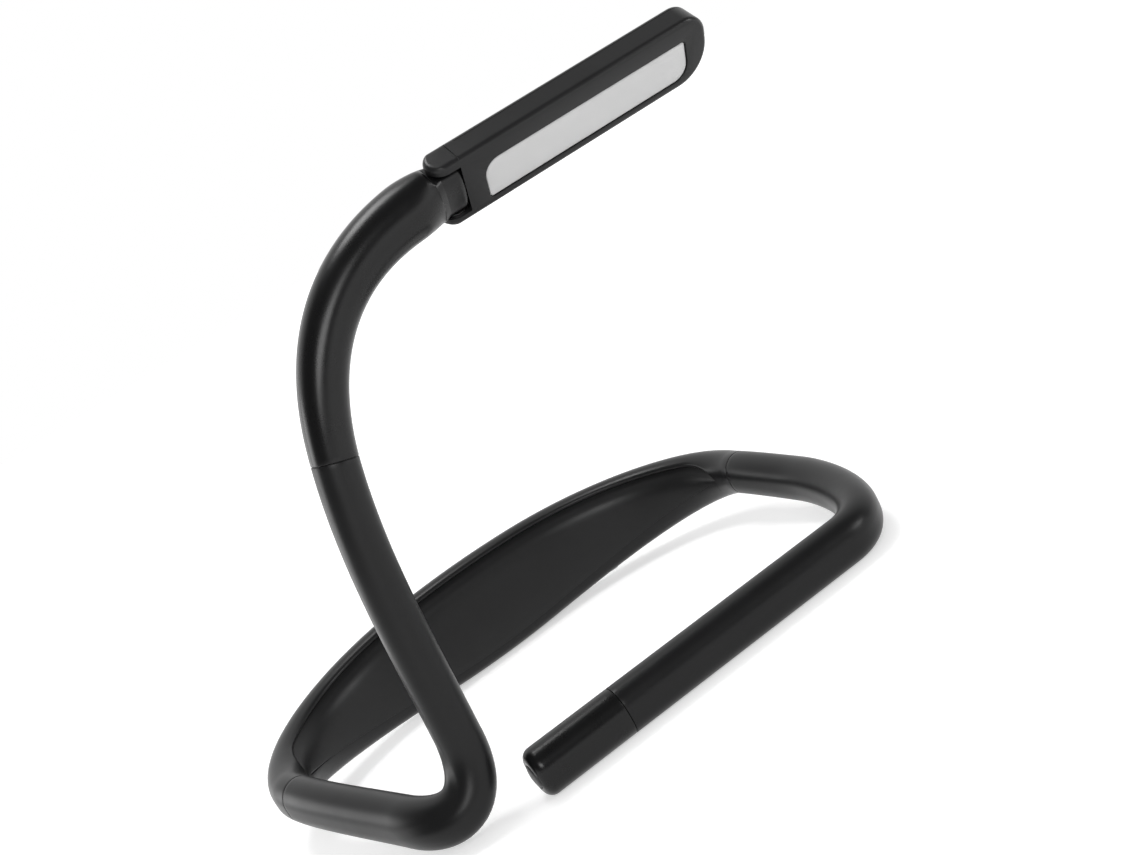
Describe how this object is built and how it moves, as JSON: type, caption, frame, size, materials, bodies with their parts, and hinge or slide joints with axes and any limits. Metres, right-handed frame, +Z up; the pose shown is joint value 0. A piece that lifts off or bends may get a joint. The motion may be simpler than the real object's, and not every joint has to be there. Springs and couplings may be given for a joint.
{
  "type": "neck reading light",
  "caption": "Neck reading light: a curved band with a bendable arm at each end, one rising to a rigid elbow and a hinged lamp head, the other ending in a switch cap",
  "frame": {"origin": "bottom centre of the bounding box; the table surface is z = 0", "axes": "+Z up, +X along the ring from the lamp's arm to the far arm, +Y towards the band, whose neck side looks along -Y"},
  "size_m": [0.1946, 0.138, 0.1477],
  "materials": {
    "shell": "satin black moulded plastic",
    "pad": "soft-touch black inner pad",
    "sleeve": "satin black silicone",
    "gloss": "semi-gloss black plastic",
    "button": "satin black plastic",
    "lens": "frosted white diffuser",
    "nylon": "plain nylon",
    "core": "bendable metal core",
    "steel": "plain steel",
    "board": "green circuit board",
    "cell": "foil pouch",
    "tape": "foam tape",
    "led": "phosphor resin"
  },
  "bodies": {
    "band": {"band_shell": "shell", "neck_pad": "pad", "battery_cell": "cell", "battery_tape": "tape", "charging_board": "board", "charging_socket": "steel", "near_core_clamp": "nylon", "far_core_clamp": "nylon", "near_root_sleeve": "sleeve", "near_root_core": "core", "far_root_sleeve": "sleeve", "far_root_core": "core", "near_bend_sleeve": "sleeve", "near_bend_core": "core", "far_bend_sleeve": "sleeve", "far_bend_core": "core"},
    "lamp_arm": {"lamp_arm_sleeve": "sleeve", "lamp_arm_core": "core", "elbow": "gloss", "hinge_pin": "steel"},
    "lamp_head": {"head_case": "shell", "head_cover": "shell", "lens": "lens", "led_board": "board", "thermal_pad": "tape", "hinge_washer_1": "steel", "hinge_washer_2": "steel", "led_1": "led", "led_2": "led", "led_3": "led", "led_4": "led", "led_5": "led", "led_6": "led", "led_7": "led", "led_8": "led"},
    "free_arm": {"free_arm_sleeve": "sleeve", "free_arm_core": "core", "switch_cap": "gloss", "cap_core_clamp": "nylon", "press_switch": "steel", "switch_board": "board"},
    "button": {"power_button": "button"}
  },
  "joints": [
    {"name": "lamp_arm_bend", "type": "hinge", "parent": "band", "child": "lamp_arm", "pos_m": [-0.0621, -0.05658, 0.0094], "axis": [0, 1, 0], "range_deg": [-25, 15], "deforming": ["near_bend_sleeve", "near_bend_core"]},
    {"name": "free_arm_bend", "type": "hinge", "parent": "band", "child": "free_arm", "pos_m": [0.07387, -0.04351, 0.00927], "axis": [0, 0, 1], "range_deg": [-10, 45], "deforming": ["far_bend_sleeve", "far_bend_core"]},
    {"name": "head_tilt", "type": "hinge", "parent": "lamp_arm", "child": "lamp_head", "pos_m": [0.01742, -0.0552, 0.13844], "axis": [0, 0.6691, -0.7431], "range_deg": [-60, 60]},
    {"name": "button_press", "type": "slide", "parent": "free_arm", "child": "button", "axis": [1, 0, 0], "range_m": [0, 0.0006], "stiffness_N_per_m": 1200, "springref_m": -0.0004}
  ]
}
